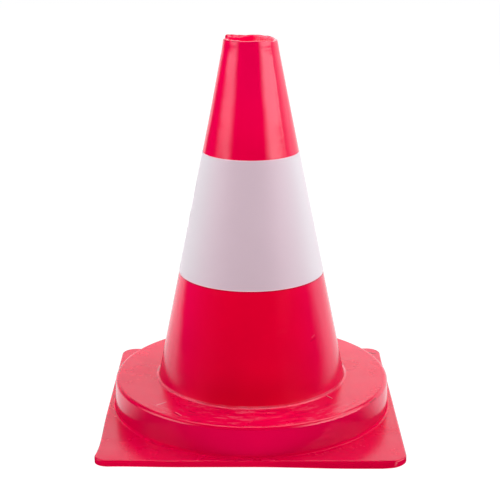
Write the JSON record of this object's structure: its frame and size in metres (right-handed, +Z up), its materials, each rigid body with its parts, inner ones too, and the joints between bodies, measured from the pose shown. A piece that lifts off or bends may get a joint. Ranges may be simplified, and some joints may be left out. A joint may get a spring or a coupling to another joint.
{
  "type": "traffic cone",
  "caption": "Small red traffic cone: hollow tapered body with an open tip and one white collar, on a round plinth with a square foot, ballast ring snapped in underneath.",
  "frame": {"origin": "centre of the underside, on the ground", "axes": "+Z up along the cone's axis, X and Y square to the sides of the foot, band overlap at +Y (back)"},
  "size_m": [0.233, 0.233, 0.3],
  "materials": {
    "cone_red": "glossy flexible PVC",
    "base_red": "glossy flexible PVC with faint flow marks",
    "band_white": "satin white sheet",
    "ballast_black": "matte recycled rubber"
  },
  "bodies": {
    "root": {"cone_body": "cone_red", "base": "base_red", "white_band": "band_white", "ballast_ring": "ballast_black"}
  },
  "joints": []
}
